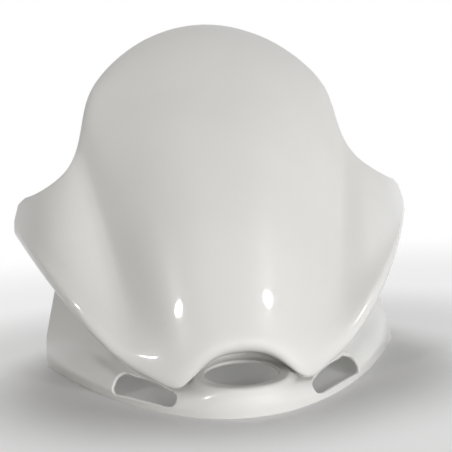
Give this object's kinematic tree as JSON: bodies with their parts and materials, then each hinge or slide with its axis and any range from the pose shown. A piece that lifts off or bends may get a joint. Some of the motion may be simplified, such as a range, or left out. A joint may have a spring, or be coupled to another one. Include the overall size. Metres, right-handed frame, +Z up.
{
  "type": "headlight cowl",
  "caption": "Gloss white one-piece motorbike headlight cowl: a tall hump between swept wings, over an apron with a round hole and tapered slots.",
  "frame": {"origin": "centre of the round hole, on the upper face of its flat land", "axes": "+X to the right seen from the front, +Y to the back, +Z up along the hole's axis; the lip's lower edge is level"},
  "size_m": [0.316, 0.1846, 0.265],
  "materials": {
    "gloss_white": "gloss white paint on a moulded shell"
  },
  "bodies": {
    "root": {"cowl": "gloss_white"}
  },
  "joints": []
}
